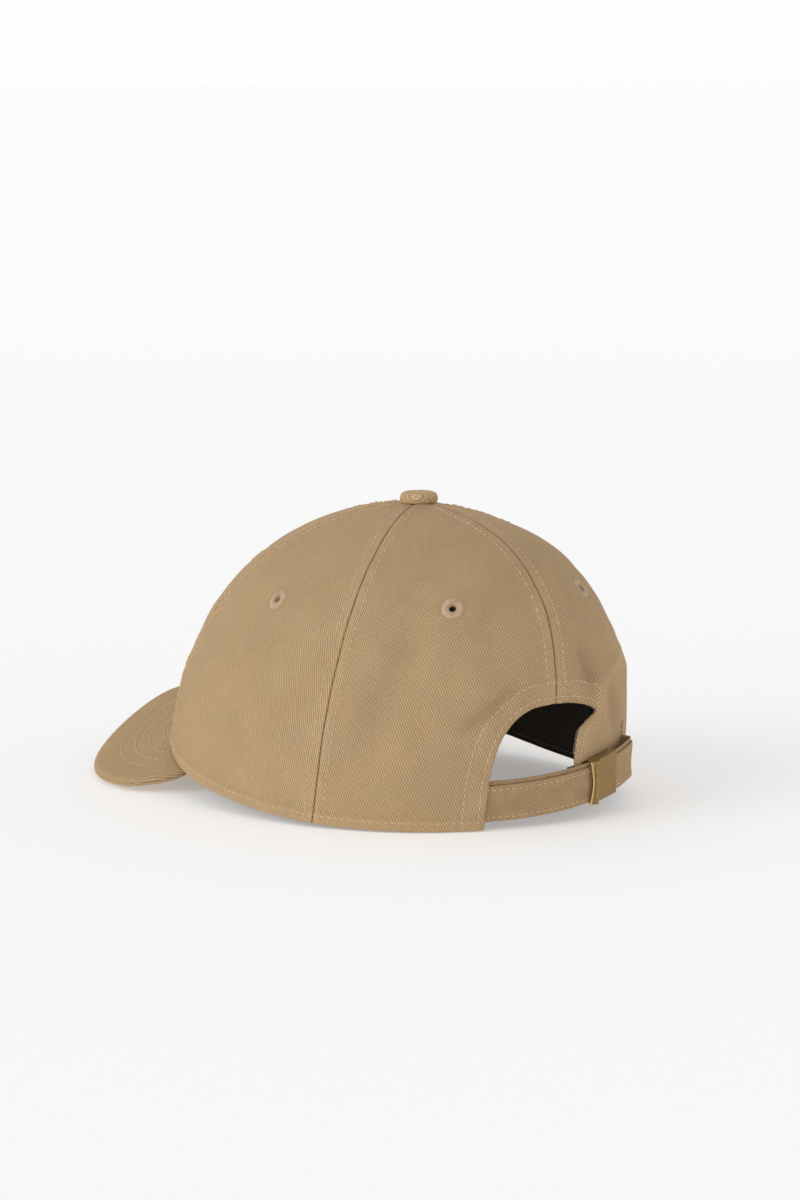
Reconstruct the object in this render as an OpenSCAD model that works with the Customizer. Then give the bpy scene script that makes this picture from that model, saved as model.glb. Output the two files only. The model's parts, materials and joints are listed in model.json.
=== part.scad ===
// Six-panel baseball cap with a curved visor and a cloth strap closed by a flip buckle.
// Millimetres. Origin on the table under the crown's centre, +Z up, visor towards -Y,
// strap and buckle towards +Y, wearer's left towards +X.

/* [Crown] */
// Height of the crown's top above the table
crown_h = 116.7; // [100:0.1:135]
// Half the crown's length, front to back
crown_a = 99.2; // [90:0.1:110]
// Half the crown's width
crown_b = 84.7; // [76:0.1:95]
// How far the crown's top leans to the back
lean = 18; // [0:0.5:30]
// How far the crown's front edge lifts off the table
front_lift = 23.4; // [0:0.1:32]
// Seam between rear and side panels, degrees from the back
seam_rear = 61.2; // [50:0.1:70]
// Seam between side and front panels, degrees from the back
seam_front = 128.8; // [118:0.1:138]
// Cloth thickness of a panel
cloth_t = 1; // [0.6:0.1:1.6]

/* [Rear opening] */
// Half the arch's width
arch_half = 24.5; // [18:0.5:32]
// Height of the arch
arch_h = 47.8; // [38:0.1:58]
// Sideways place of the arch's middle
arch_x = 2; // [-4:0.5:6]
// Where the buckle pulls the arch's right edge to
arch_right = -14; // [-22:0.5:-8]

/* [Strap and buckle] */
// Strap height
strap_w = 16.5; // [16:0.5:24]
// Strap thickness
strap_t = 1.2; // [0.8:0.1:2]
// Strap bottom above the rear hem
strap_z = 5.4; // [2:0.1:10]
// How far the strap climbs towards the buckle, degrees
strap_roll = 6; // [0:0.5:8]
// How far the strap lifts the hem on the buckle side
rear_lift = 7; // [0:0.5:9]
// Strap arc radius
strap_r = 76.4; // [70:0.1:84]
// Middle of the buckle, degrees round the strap arc
buckle_at = -15; // [-20:0.5:-12]
// Slit that swallows the strap's free end, degrees round the strap arc
slit_at = -34.4; // [-40:0.2:-30]

/* [Visor] */
// Half the visor's width
visor_half = 97; // [84:0.5:100]
// Length of the visor's outer curve from its widest line
visor_len = 98.3; // [88:0.1:110]
// Height of the visor tip's underside
visor_tip_z = 19.5; // [8:0.5:26]
// Rounding of the visor's front (mm)
visor_round = 12; // [0:1:20]
// Visor board thickness
board_t = 2; // [1.5:0.1:3]

/* [Trim] */
// Sweatband height
band_h = 32; // [24:1:40]
// Seam tape width
tape_w = 15; // [10:1:20]
// Eyelet outer diameter
eyelet_d = 8.8; // [7:0.1:11]
// Button diameter
button_d = 15.2; // [12:0.1:18]

/* [Hidden] */
tilt = atan(lean / crown_h);
back_x = -7.7;
back_y = 23.1;
back_z = crown_a * sin(tilt) + strap_z / cos(tilt);
pin_x = 6.9;
pin_y = strap_r + 1.9;
cover_t = 0.8;
visor_t = board_t + 2 * cover_t + 0.2;
cloth = [0.62, 0.52, 0.38];
dark = [0.09, 0.08, 0.07];
brass = [0.55, 0.46, 0.29];
us = [0, 0.6, 2.5, 6, 11, 16.5, 22, 28, 34, 40.5, 47, 54, 61, 68, 75, 82, 88];

// ---- crown surface -------------------------------------------------------------
function sg(v, e) = sign(v) * pow(abs(v), e);
function blend3(ph, f, s, r) = s + (cos(ph) > 0 ? r - s : f - s) * cos(ph) * cos(ph);
function hem_lift(ph) =
  let (a = ((-ph) % 360 + 360) % 360, r = min(1, a / 9), f = min(1, max(0, (a - 30) / 65)))
  a > 180 ? 0 : (rear_lift + 1.5 * min(1, a / 30)) * r * r * (3 - 2 * r) * pow(cos(90 * f), 2);
function edge_z(ph) =
  front_lift * pow(max(0, ((1 - cos(ph)) / 2 - 0.06) / 0.94), 1.9) + hem_lift(ph);
// a point on the crown: ph degrees from the back, u degrees up from the hem, d mm inwards
function cp(ph, u, d = 0) =
  let (p = blend3(ph, 1.003, 1.036, 0.974), q = blend3(ph, 0.745, 0.987, 0.501))
  let (z = edge_z(ph) + (crown_h - d - edge_z(ph)) * pow(sin(u), q), r = pow(cos(u), p))
  [(crown_b - d) * r * sg(sin(ph), 0.954),
   (crown_a - d) * r * sg(cos(ph), 0.954) + lean * z / crown_h, z];
function crown_n(ph, u) =
  let (c = cross(cp(ph + 0.5, u) - cp(ph - 0.5, u), cp(ph, u + 0.5) - cp(ph, u - 0.5)))
  let (s = c * cp(ph, 5) < 0 ? -1 : 1)
  s * c / norm(c);

// closed solid between two point grids of the same size, outer first
module slab(a, b) {
  n = len(a);
  m = len(a[0]);
  k = n * m;
  pts = concat([for (r = a) each r], [for (r = b) each r]);
  sheets = [for (i = [0:n - 2], j = [0:m - 2])
    let (c = i * m + j)
    each [[c, c + 1, c + m + 1], [c, c + m + 1, c + m],
      [k + c, k + c + m + 1, k + c + 1], [k + c, k + c + m, k + c + m + 1]]];
  sides = [for (i = [0:n - 2])
    let (c = i * m, e = i * m + m - 1)
    each [[c, c + m, k + c + m], [c, k + c + m, k + c],
      [e, k + e + m, e + m], [e, k + e, k + e + m]]];
  ends = [for (j = [0:m - 2])
    let (c = j, e = (n - 1) * m + j)
    each [[c, k + c + 1, c + 1], [c, k + c, k + c + 1],
      [e, e + 1, k + e + 1], [e, k + e + 1, k + e]]];
  polyhedron(points = pts, faces = concat(sheets, sides, ends), convexity = 6);
}

// part of the crown's shell between two angles and two depths
module shell(p0, p1, d0, d1, n = 10, levels = us) {
  slab([for (i = [0:n]) [for (u = levels) cp(p0 + (p1 - p0) * i / n, u, d0)]],
       [for (i = [0:n]) [for (u = levels) cp(p0 + (p1 - p0) * i / n, u, d1)]]);
}

// outline of the rear arch, grown by g, in the x-z plane
function arch_side(z, g) =
  let (t = min(1, max(0, (z - 12) / (arch_h + g - 12))))
  (arch_half + g) * pow(1 - pow(t, 2.5), 0.4);
module arch_cut() {
  zs = [-5, 0, 6, 12, 18, 23, 27.5, 31.5, 35, 38, 40.6, 42.8, 44.6, 46, 47, 47.6, 47.8];
  up = [for (z = zs) z * arch_h / 47.8];
  translate([0, 140, 0]) rotate([90, 0, 0]) linear_extrude(height = 80)
    polygon(concat([for (z = up) [arch_x + arch_side(z, 0), z]],
      [for (i = [len(up) - 2:-1:0]) [max(arch_right, arch_x - arch_side(up[i], 0)), up[i]]]));
}

// ---- frames --------------------------------------------------------------------
module back() {
  rotate([-tilt, 0, 0]) translate([back_x, back_y, back_z + strap_w / 2])
    rotate([0, strap_roll, 0]) translate([0, 0, -strap_w / 2]) children();
}
module at_buckle() {
  back() rotate([0, 0, -buckle_at]) children();
}
module arc(p0, p1, r0, r1, z0, h) {
  rotate([0, 0, 90 - p1]) rotate_extrude(angle = p1 - p0, $fn = 180)
    translate([r0, z0]) square([r1 - r0, h]);
}
module on_crown(ph, u) {
  n = crown_n(ph, u);
  translate(cp(ph, u)) rotate([0, acos(n[2]), atan2(n[1], n[0])]) children();
}
// the same arc built from flats
function at(p, r) = [r * sin(p), r * cos(p)];
module bent(p0, p1, r0, r1, z0, h, n = 8) {
  ps = [for (i = [0:n]) p0 + (p1 - p0) * i / n];
  translate([0, 0, z0]) linear_extrude(height = h)
    polygon(concat([for (p = ps) at(p, r1)], [for (i = [n:-1:0]) at(ps[i], r0)]));
}
module eyelet_hole(ph, u, r = 2.8) {
  on_crown(ph, u) cylinder(h = 8, r = r, center = true, $fn = 32);
}

// ---- panels --------------------------------------------------------------------
module panel(p0, p1, ph, u) {
  color(cloth) difference() {
    shell(p0 + 0.15, p1 - 0.15, 0, cloth_t);
    eyelet_hole(ph, u);
  }
}
module front_panel_left() { panel(seam_front, 180, 153, 42); }
module front_panel_right() { panel(180, 360 - seam_front, 207, 42); }
module side_panel_left() { panel(seam_rear, seam_front, 93.6, 43); }
module side_panel_right() { panel(360 - seam_front, 360 - seam_rear, 266.4, 43); }
module rear_panel_left() {
  difference() {
    panel(0, seam_rear, 28.3, 36.5);
    arch_cut();
  }
}
module rear_panel_right() {
  difference() {
    panel(-seam_rear, 0, -20, 35.8);
    arch_cut();
    back() rotate([0, 0, -slit_at]) translate([-1.6, strap_r - 12, -1])
      cube([3.2, 18, strap_w + 6]);
  }
}

// ---- inside the crown ----------------------------------------------------------
module buckram(p0, p1, ph) {
  color([0.82, 0.8, 0.74]) difference() {
    shell(p0, p1, cloth_t + 0.6, cloth_t + 1.1, 8, [0.6, 6, 11, 16.5, 22, 28, 34, 40.5, 47, 54, 61, 68]);
    eyelet_hole(ph, 42, 5);
  }
}
module front_buckram_left() { buckram(seam_front + 0.8, 179.6, 153); }
module front_buckram_right() { buckram(180.4, 359.2 - seam_front, 207); }

module tape(ph, u0 = 0.6) {
  n = 12;
  lv = [for (i = [0:n]) u0 + (74 - u0) * i / n];
  w = [for (u = lv) asin(tape_w / 2 / (norm([cp(ph, u)[0], cp(ph, u)[1] - lean * cp(ph, u)[2] / crown_h])))];
  ks = [-1, -0.5, 0, 0.5, 1];
  color(dark) slab([for (k = ks) [for (i = [0:n]) cp(ph + k * w[i], lv[i], cloth_t + 1.9)]],
    [for (k = ks) [for (i = [0:n]) cp(ph + k * w[i], lv[i], cloth_t + 2.4)]]);
}
module tape_front_centre() { tape(180); }
module tape_rear_centre() { tape(0, 14); }
module tape_front_left() { tape(seam_front); }
module tape_front_right() { tape(-seam_front); }
module tape_rear_left() { tape(seam_rear); }
module tape_rear_right() { tape(-seam_rear); }

// the point of the crown's back seen at x and z, d mm inwards
function on_back(x, z, d) =
  let (p0 = asin(sg(x / (crown_b - d), 1 / 0.954)))
  let (e = edge_z(p0))
  let (u = asin(pow(max(0, z - e) / (crown_h - d - e), 1 / blend3(p0, 0.745, 0.987, 0.501))))
  let (r = pow(cos(u), blend3(p0, 1.003, 1.036, 0.974)))
  cp(asin(sg(x / ((crown_b - d) * r), 1 / 0.954)), u, d);
module arch_facing() {
  zs = [28.5, 31.5, 35, 38, 40.6, 42.8, 44.6, 46, 47, 47.6, 47.8];
  n = len(zs);
  function edge(i, g) =
    let (z = zs[i < n ? i : 2 * n - 2 - i] * (arch_h + g) / 47.8, h = arch_side(z, g))
    [i < n ? arch_x + h : max(arch_right - g, arch_x - h), z];
  function row(d) = [for (i = [0:2 * n - 2]) [for (g = [0.4, 4.5, 9])
    on_back(edge(i, g)[0], edge(i, g)[1], d)]];
  color(dark) slab(row(cloth_t + 0.7), row(cloth_t + 1.2));
}
module sweatband() {
  lv = [0, 0.34, 0.67, 1];
  ph = [for (i = [0:54]) 20 + 320 * i / 54];
  function up(p, h, d) =
    asin(pow(h / (crown_h - d - edge_z(p)), 1 / blend3(p, 0.745, 0.987, 0.501)));
  function wall(d) = [for (p = ph) [for (k = lv) cp(p, up(p, 0.6 + k * band_h, d), d)]];
  color(dark) slab(wall(cloth_t + 5.2), wall(cloth_t + 6.2));
}

// ---- visor ---------------------------------------------------------------------
// t runs -1..1 round the curve, s runs 0..1 from crown to edge, h is height in the sandwich
function visor_in(t) =
  let (c = cp(180 - 68 * t, 0.01, cloth_t + 3))
  [c[0], c[1], edge_z(180 - 68 * t) - visor_t - 0.25];
function visor_out(t) =
  let (th = 107 * t, c = cos(th), x = visor_half * sg(sin(th), 1.4),
       e = pow(x * x + visor_round * visor_round, 0.715) - pow(abs(x), 1.43))
  [x, -53.6 - visor_len * (c > 0 ? 1 : 0.6) * sg(c, 1.05) + 0.0743 * e,
   (visor_tip_z - 0.0584 * e) * pow(max(c, 0), 4.16)];
function visor_pt(t, s, h) =
  let (w = pow(1 - pow(abs(t), 9), 0.5), i = visor_in(t))
  i + (visor_out(t) - i) * s * w + [0, 0, h];
module visor_layer(s1, h0, h1) {
  ts = [for (i = [-18:18]) sg(sin(i * 5), 1) * 0.992];
  ss = [for (j = [0:5]) 0.004 + (s1 - 0.004) * j / 5];
  slab([for (t = ts) [for (s = ss) visor_pt(t, s, h0)]], [for (t = ts) [for (s = ss) visor_pt(t, s, h1)]]);
}
module visor_under_cover() { color(cloth) visor_layer(1, 0, cover_t); }
module visor_board() { color([0.9, 0.9, 0.88]) visor_layer(0.975, cover_t + 0.1, cover_t + 0.1 + board_t); }
module visor_top_cover() { color(cloth) visor_layer(1, visor_t - cover_t, visor_t); }

// ---- button and eyelets --------------------------------------------------------
module dome(r0, h0, r1, h1, z) {
  rotate_extrude($fn = 48) polygon(concat([for (a = [0:15:90]) [r0 * cos(a), z + h0 * sin(a)]],
    [for (a = [90:-15:0]) [r1 * cos(a), z + h1 * sin(a)]]));
}
module on_top() { translate([0, lean, crown_h]) children(); }
module button_shell() {
  color([0.7, 0.7, 0.68]) on_top() dome(button_d / 2 - 0.6, 3.6, button_d / 2 - 1.1, 3.1, 0.5);
}
module button_cover() {
  color(cloth) on_top() {
    dome(button_d / 2, 4.3, button_d / 2 - 0.45, 3.8, 0.5);
    difference() {
      translate([0, 0, 0.1]) cylinder(h = 0.4, r = button_d / 2, $fn = 48);
      cylinder(h = 2, r = 5, center = true, $fn = 48);
    }
  }
}
module button_rivet() {
  color([0.7, 0.7, 0.68]) on_top() {
    translate([0, 0, -2.3]) cylinder(h = 0.6, r = 5.5, $fn = 36);
    translate([0, 0, -1.8]) cylinder(h = 5.2, r = 1.5, $fn = 24);
  }
}
module eyelet(ph, u) {
  r = eyelet_d / 2;
  color([0.83, 0.72, 0.6]) on_crown(ph, u) rotate_extrude($fn = 40)
    polygon([[1.6, -2.5], [3.8, -2.5], [3.8, -2], [2.4, -2], [2.4, 0.25], [r, 0.25],
      [r - 0.1, 0.6], [r - 1, 0.95], [2.3, 0.9], [1.6, 0.4]]);
}
module eyelet_front_left() { eyelet(153, 42); }
module eyelet_front_right() { eyelet(207, 42); }
module eyelet_side_left() { eyelet(93.6, 43); }
module eyelet_side_right() { eyelet(266.4, 43); }
module eyelet_rear_left() { eyelet(28.3, 36.5); }
module eyelet_rear_right() { eyelet(-20, 35.8); }

// ---- strap and buckle ----------------------------------------------------------
module strap() {
  color(cloth) back() arc(-20.5, 35, strap_r - strap_t / 2, strap_r + strap_t / 2, 0, strap_w);
}
module strap_tail() {
  r = strap_r;
  h = strap_t / 2;
  in = slit_at + 0.45;
  out = slit_at - 0.45;
  outer = [for (i = [0:4]) -28.2 + (in + 28.2) * i / 4];
  inner = [for (i = [0:6]) out + (-45 - out) * i / 6];
  color(cloth) back() linear_extrude(height = strap_w) polygon(concat(
    [for (p = outer) at(p, r + h)], [at(out, r + h)],
    [for (p = inner) at(p, r - 8.4 + strap_t)],
    [for (i = [6:-1:0]) at(inner[i], r - 8.4)], [at(in, r - 8.4)],
    [for (i = [4:-1:0]) at(outer[i], r - h)]));
}
module buckle_frame() {
  r = strap_r;
  color(brass) difference() {
    union() {
      back() difference() {
        bent(buckle_at - 6.4, -6.6, r - 2.1, r - 1.4, -1.1, strap_w + 2.2);
        bent(-8.7, -7.6, r - 4, r, 1, strap_w - 2, 1);
      }
      at_buckle() for (z = [-1.1, strap_w + 0.2]) translate([0, 0, z]) {
        translate([-8.4, r - 1.9, 0]) cube([14, 3.6, 0.9]);
        translate([pin_x - 1.3, r - 1.9, 0]) cube([2.6, 3.8, 0.9]);
        translate([pin_x, pin_y, 0]) cylinder(h = 0.9, r = 1.3, $fn = 32);
      }
    }
    at_buckle() translate([pin_x, pin_y, -3]) cylinder(h = strap_w + 6, r = 0.72, $fn = 32);
  }
}
module buckle_pin() {
  color(brass) at_buckle() translate([pin_x, pin_y, -1.4]) cylinder(h = strap_w + 2.8, r = 0.68, $fn = 32);
}
module buckle_flap() {
  y = pin_y + 1.15 - 0.6;
  color(brass) at_buckle() difference() {
    union() {
      translate([pin_x, pin_y, -0.1]) cylinder(h = strap_w + 0.2, r = 1.15, $fn = 32);
      translate([-8.9, y, -0.1]) cube([pin_x + 8.9, 0.6, strap_w + 0.2]);
      translate([-8.9, y, -0.7]) cube([pin_x + 7.2, 0.6, strap_w + 1.4]);
      translate([-9.6, y - 0.7, -0.7]) cube([0.8, 1.3, strap_w + 1.4]);
      translate([2, strap_r + 0.9, 1]) cube([1, y - strap_r - 0.7, strap_w - 2]);
    }
    translate([pin_x, pin_y, -3]) cylinder(h = strap_w + 6, r = 0.74, $fn = 32);
  }
}
module buckle_tab() {
  r = strap_r;
  color(cloth) back() {
    bent(-8.3, -2.9, r - 1.25, r - 0.85, 2, strap_w - 4, 3);
    bent(-8.3, -7.9, r - 2.1, r - 0.85, 2, strap_w - 4, 1);
    bent(-3.4, -2.9, r - 5.5, r - 0.85, 2, strap_w - 4, 1);
    bent(-15, -2.9, r - 5.5, r - 4.95, 2, strap_w - 4);
  }
}

front_panel_left();
front_panel_right();
side_panel_left();
side_panel_right();
rear_panel_left();
rear_panel_right();
front_buckram_left();
front_buckram_right();
tape_front_centre();
tape_rear_centre();
tape_front_left();
tape_front_right();
tape_rear_left();
tape_rear_right();
arch_facing();
sweatband();
visor_board();
visor_top_cover();
visor_under_cover();
button_shell();
button_cover();
button_rivet();
eyelet_front_left();
eyelet_front_right();
eyelet_side_left();
eyelet_side_right();
eyelet_rear_left();
eyelet_rear_right();
strap();
strap_tail();
buckle_frame();
buckle_pin();
buckle_flap();
buckle_tab();
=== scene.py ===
import json
import math

import bpy
import numpy as np
from mathutils import Matrix, Vector
from mathutils.bvhtree import BVHTree


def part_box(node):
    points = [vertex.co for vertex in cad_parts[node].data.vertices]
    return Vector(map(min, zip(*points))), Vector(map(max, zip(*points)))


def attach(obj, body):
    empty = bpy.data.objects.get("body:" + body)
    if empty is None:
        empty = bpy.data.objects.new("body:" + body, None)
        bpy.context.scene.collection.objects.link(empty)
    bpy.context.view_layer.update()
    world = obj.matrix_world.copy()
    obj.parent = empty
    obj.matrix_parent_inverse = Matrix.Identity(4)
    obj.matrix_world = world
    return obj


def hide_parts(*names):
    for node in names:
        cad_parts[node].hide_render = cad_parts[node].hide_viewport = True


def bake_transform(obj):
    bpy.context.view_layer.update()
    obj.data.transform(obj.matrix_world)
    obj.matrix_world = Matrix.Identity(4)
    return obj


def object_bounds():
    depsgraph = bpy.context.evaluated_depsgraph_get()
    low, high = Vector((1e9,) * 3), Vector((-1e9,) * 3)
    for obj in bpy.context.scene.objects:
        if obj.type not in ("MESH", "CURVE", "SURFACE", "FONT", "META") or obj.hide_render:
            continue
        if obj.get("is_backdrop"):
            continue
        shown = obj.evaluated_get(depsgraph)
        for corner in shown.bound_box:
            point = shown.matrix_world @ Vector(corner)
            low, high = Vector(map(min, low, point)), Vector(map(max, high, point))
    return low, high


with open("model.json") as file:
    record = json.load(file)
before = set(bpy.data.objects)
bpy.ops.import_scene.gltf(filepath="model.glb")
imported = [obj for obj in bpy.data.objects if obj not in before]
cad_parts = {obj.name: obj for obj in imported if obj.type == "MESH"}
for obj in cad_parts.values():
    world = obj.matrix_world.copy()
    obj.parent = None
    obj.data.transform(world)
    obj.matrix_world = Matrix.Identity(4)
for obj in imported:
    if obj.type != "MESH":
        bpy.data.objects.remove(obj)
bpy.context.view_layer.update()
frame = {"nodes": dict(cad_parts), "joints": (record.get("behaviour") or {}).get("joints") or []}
rng = np.random.RandomState(11)
DEG = math.pi / 180


# ---- measures in mm and degrees; the crown's size is taken from the frame ----
def box_mm(node):
    lo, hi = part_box(node)
    return np.array(lo) * 1000, np.array(hi) * 1000


LEAN, LIFT, CLOTH = 18.0, 23.4, 1.0  # how far the top sits back, the front hem's height, the cloth
SEAM_REAR, SEAM_FRONT = 61.2, 128.8  # seams' places, degrees round the crown from the back
H = box_mm("button_cover")[0][2] - 0.1
B = box_mm("side_panel_left")[1][0] + 0.02
A = -box_mm("front_panel_left")[0][1] + LEAN * LIFT / H

# exponents of the crown's curves at the front, the sides and the rear
RISE = (0.745, 0.987, 0.501)
DRAW_IN = (1.003, 1.036, 0.974)
OUTLINE = 0.954


# ---- small maths ----
def sg(v, e):
    """A power that keeps the sign."""
    return np.sign(v) * np.abs(v) ** e


def bell(x, at, width):
    """A smooth bump of height 1, centred at x = at."""
    return np.exp(-((x - at) / width) ** 2)


def below(x, at, soft):
    """1 where x is below at and 0 above it, with a soft step between."""
    return 1 / (1 + np.exp((x - at) / soft))


def unit(v):
    return v / np.maximum(np.linalg.norm(v, axis=-1, keepdims=True), 1e-9)


def run_length(v, axis=0):
    """Lengths along the points v, from the first one."""
    steps = np.cumsum(np.linalg.norm(np.diff(v, axis=axis), axis=-1), axis=axis)
    return np.insert(steps, 0, 0.0, axis=axis)


def at_lengths(path, s, t):
    """Points of a path at the lengths t, where s holds the lengths at its own points."""
    return np.stack([np.interp(t, s, path[:, k]) for k in range(3)], -1)


def resample(path, step):
    """Even points along a path."""
    path = np.asarray(path, float)
    s = run_length(path)
    return at_lengths(path, s, np.linspace(0, s[-1], max(2, int(round(s[-1] / step)) + 1)))


def smooth_path(knots, n=8):
    """Catmull-Rom through the knots, n points to a span."""
    p = np.concatenate([[2 * knots[0] - knots[1]], knots, [2 * knots[-1] - knots[-2]]])
    out = []
    for i in range(len(knots) - 1):
        a, b, c, d = p[i:i + 4]
        for t in np.arange(n) / n:
            square, cube = 2 * a - 5 * b + 4 * c - d, 3 * b - a - 3 * c + d
            out.append(0.5 * (2 * b + (c - a) * t + square * t * t + cube * t ** 3))
    return np.array(out + [knots[-1]])


def waves(p, scale, seed):
    """Smooth repeatable noise at points p, roughly -1..1; its longest waves are scale mm."""
    r = np.random.RandomState(seed)
    out = np.zeros(p.shape[:-1])
    for octave in range(3):
        for _ in range(5):
            k = r.normal(size=3)
            k *= (1.7 ** octave) * 2 * math.pi / (scale * np.linalg.norm(k))
            out += np.sin(p @ k + r.uniform(0, 6.28)) * 0.62 ** octave
    return out / 4.2


def fold(d, r):
    """How far a cloth edge of radius r drops away at distance d from the fold."""
    q = np.clip(1 - d / r, 0, 1)
    return r * (1 - np.sqrt(1 - q * q))


# ---- the crown's surface ----
def mix3(c, front, side, rear):
    """Blends three values round the crown; c is 1 at the rear, 0 at the sides and -1 at the front."""
    return side + np.where(c > 0, rear - side, front - side) * c * c


def hem_lift(ph):
    """How far the strap lifts the hem on the buckle's side."""
    a = np.degrees(-np.asarray(ph)) % 360
    rise = np.minimum(1, a / 9)
    fade = np.cos(np.clip((a - 30) / 65, 0, 1) * math.pi / 2) ** 2
    height = 7 + 1.5 * np.minimum(1, a / 30)
    return np.where(a > 180, 0, height * rise * rise * (3 - 2 * rise) * fade)


def edge_z(ph):
    """Height of the hem: on the table at the back, LIFT above it at the front."""
    flat = 0.06
    return LIFT * np.maximum(0, ((1 - np.cos(ph)) / 2 - flat) / (1 - flat)) ** 1.9 + hem_lift(ph)


def crown(ph, u, d=0.0):
    """Points on the crown: ph from the back towards the wearer's left, u up from the hem, d mm inwards."""
    c, s = np.cos(ph), np.sin(ph)
    z0 = edge_z(ph)
    z = z0 + (H - d - z0) * np.sin(u) ** mix3(c, *RISE)
    r = np.cos(u) ** mix3(c, *DRAW_IN)
    return np.stack([(B - d) * r * sg(s, OUTLINE), (A - d) * r * sg(c, OUTLINE) + LEAN * z / H, z], -1)


def crown_normal(ph, u):
    e = 0.012
    du = crown(ph, np.minimum(u + e, 1.56)) - crown(ph, np.maximum(u - e, 1e-4))
    dp = crown(ph + e, u) - crown(ph - e, u)
    return unit(np.cross(du, dp))


def u_at(ph, z, d=0.0):
    """u of the point at height z, on the shell d mm inside."""
    z0 = edge_z(ph)
    return np.arcsin(np.clip((z - z0) / (H - d - z0), 0, 1) ** (1 / mix3(np.cos(ph), *RISE)))


def on_back(x, z):
    """(ph, u) of the point of the crown's back seen at x and z."""
    p0 = np.arcsin(np.clip(sg(x / B, 1 / OUTLINE), -1, 1))
    u = u_at(p0, z)
    r = np.cos(u) ** mix3(np.cos(p0), *DRAW_IN)
    return np.arcsin(np.clip(sg(x / (B * r), 1 / OUTLINE), -1, 1)), u


# ---- mesh helpers ----
def place(name, data):
    obj = bpy.data.objects.new(name, data)
    bpy.context.scene.collection.objects.link(obj)
    return obj


def new_object(name, verts, faces, mat, uv=None, tone=None, smooth=True):
    """An object from points in mm, with one uv and one tone (darker or lighter) to a point."""
    mesh = bpy.data.meshes.new(name)
    mesh.from_pydata((np.asarray(verts) * 0.001).tolist(), [], faces)
    if uv is not None:
        layer = mesh.uv_layers.new(name="UVMap")
        loop_v = np.zeros(len(mesh.loops), np.int32)
        mesh.loops.foreach_get("vertex_index", loop_v)
        layer.data.foreach_set("uv", np.asarray(uv, np.float32)[loop_v].ravel())
    if tone is not None:
        layer = mesh.attributes.new("tone", "FLOAT", "POINT")
        layer.data.foreach_set("value", np.asarray(tone, np.float32))
    mesh.polygons.foreach_set("use_smooth", [smooth] * len(mesh.polygons))
    mesh.materials.append(mat)
    mesh.update()
    return place(name, mesh)


def grid_faces(n, m, keep=None, flip=False):
    out = []
    for i in range(n - 1):
        for j in range(m - 1):
            if keep is None or keep[i, j]:
                a = i * m + j
                f = (a, a + m, a + m + 1, a + 1)
                out.append(f[::-1] if flip else f)
    return out


def tube_faces(rows, ring, base=0):
    """Faces of a closed tube: rows of ring points each, the first of them point number base."""
    faces = []
    for i in range(rows - 1):
        for j in range(ring):
            a, b = base + i * ring + j, base + i * ring + (j + 1) % ring
            faces.append((a, b, b + ring, a + ring))
    last = base + (rows - 1) * ring
    return faces + [tuple(range(base + ring - 1, base - 1, -1)), tuple(range(last, last + ring))]


def used_only(faces):
    """The points that the faces use, and the faces counted in those points."""
    used = sorted({i for f in faces for i in f})
    index = {v: k for k, v in enumerate(used)}
    return np.array(used), [tuple(index[i] for i in f) for f in faces]


def solidify(obj, t):
    m = obj.modifiers.new("Thickness", "SOLIDIFY")
    m.thickness, m.offset, m.use_even_offset = t * 0.001, -1.0, False


def bevel(obj, width):
    m = obj.modifiers.new("Bevel", "BEVEL")
    m.width, m.segments, m.limit_method, m.angle_limit = width * 0.001, 3, "ANGLE", 40 * DEG


def piece(obj, body, slot, *nodes):
    """Hides the CAD nodes an object stands for and hangs the object on the body it rides; slot is not used.
    """
    if nodes:
        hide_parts(*nodes)
    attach(obj, body)


def project(trees, pts):
    """Nearest points of the cloth, and its outward normals there."""
    out, nrm = [], []
    for p in pts:
        hits = [tree.find_nearest(Vector(p)) for tree in trees]
        loc, n, _, _ = min((h for h in hits if h[0] is not None), key=lambda h: h[3])
        out.append(loc)
        nrm.append(n)
    return np.array(out), np.array(nrm)


# ---- stitches: each one its own little sunk thread ----
RING = np.array([[math.cos(a), math.sin(a)] for a in np.arange(6) * math.pi / 3])
# a stitch from end to end: place along it, width and height
STITCH = [(-0.5, 0.45, -0.30), (-0.40, 0.9, -0.04), (-0.2, 1.0, 0.10),
          (0.2, 1.0, 0.10), (0.40, 0.9, -0.04), (0.5, 0.45, -0.30)]
STITCH_FILL = 0.76  # a stitch's share of the pitch


def stitches(name, paths, mat, body, pitch=2.8, r=0.21, lift=0.05, slot="eyelet_thread"):
    """Rows of stitches; a path is the points of a sewing line and the cloth's normals there."""
    verts, faces = [], []
    places = np.array([p[0] for p in STITCH])
    for pts, nrm in paths:
        s = run_length(pts)
        count = int(s[-1] / pitch)
        for k in range(count):
            length = pitch * STITCH_FILL * rng.uniform(0.9, 1.06)
            at = (k + 0.5) * s[-1] / count + places * length
            p = at_lengths(pts, s, at)
            n = unit(at_lengths(nrm, s, at))
            t = p[-1] - p[0]
            if np.linalg.norm(t) < 1e-6:
                continue
            side = unit(np.cross(n, unit(t)))
            p = p + side * rng.normal(0, 0.035)
            faces += tube_faces(len(STITCH), len(RING), len(verts))
            for i, (_, width, up) in enumerate(STITCH):
                centre = p[i] + n[i] * (lift + up)
                for a, b in RING:
                    verts.append(centre + side[i] * a * r * width + n[i] * b * r * width * 0.8)
    obj = new_object(name, verts, faces, mat)
    if body:
        piece(obj, body, slot)
    return obj


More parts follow.
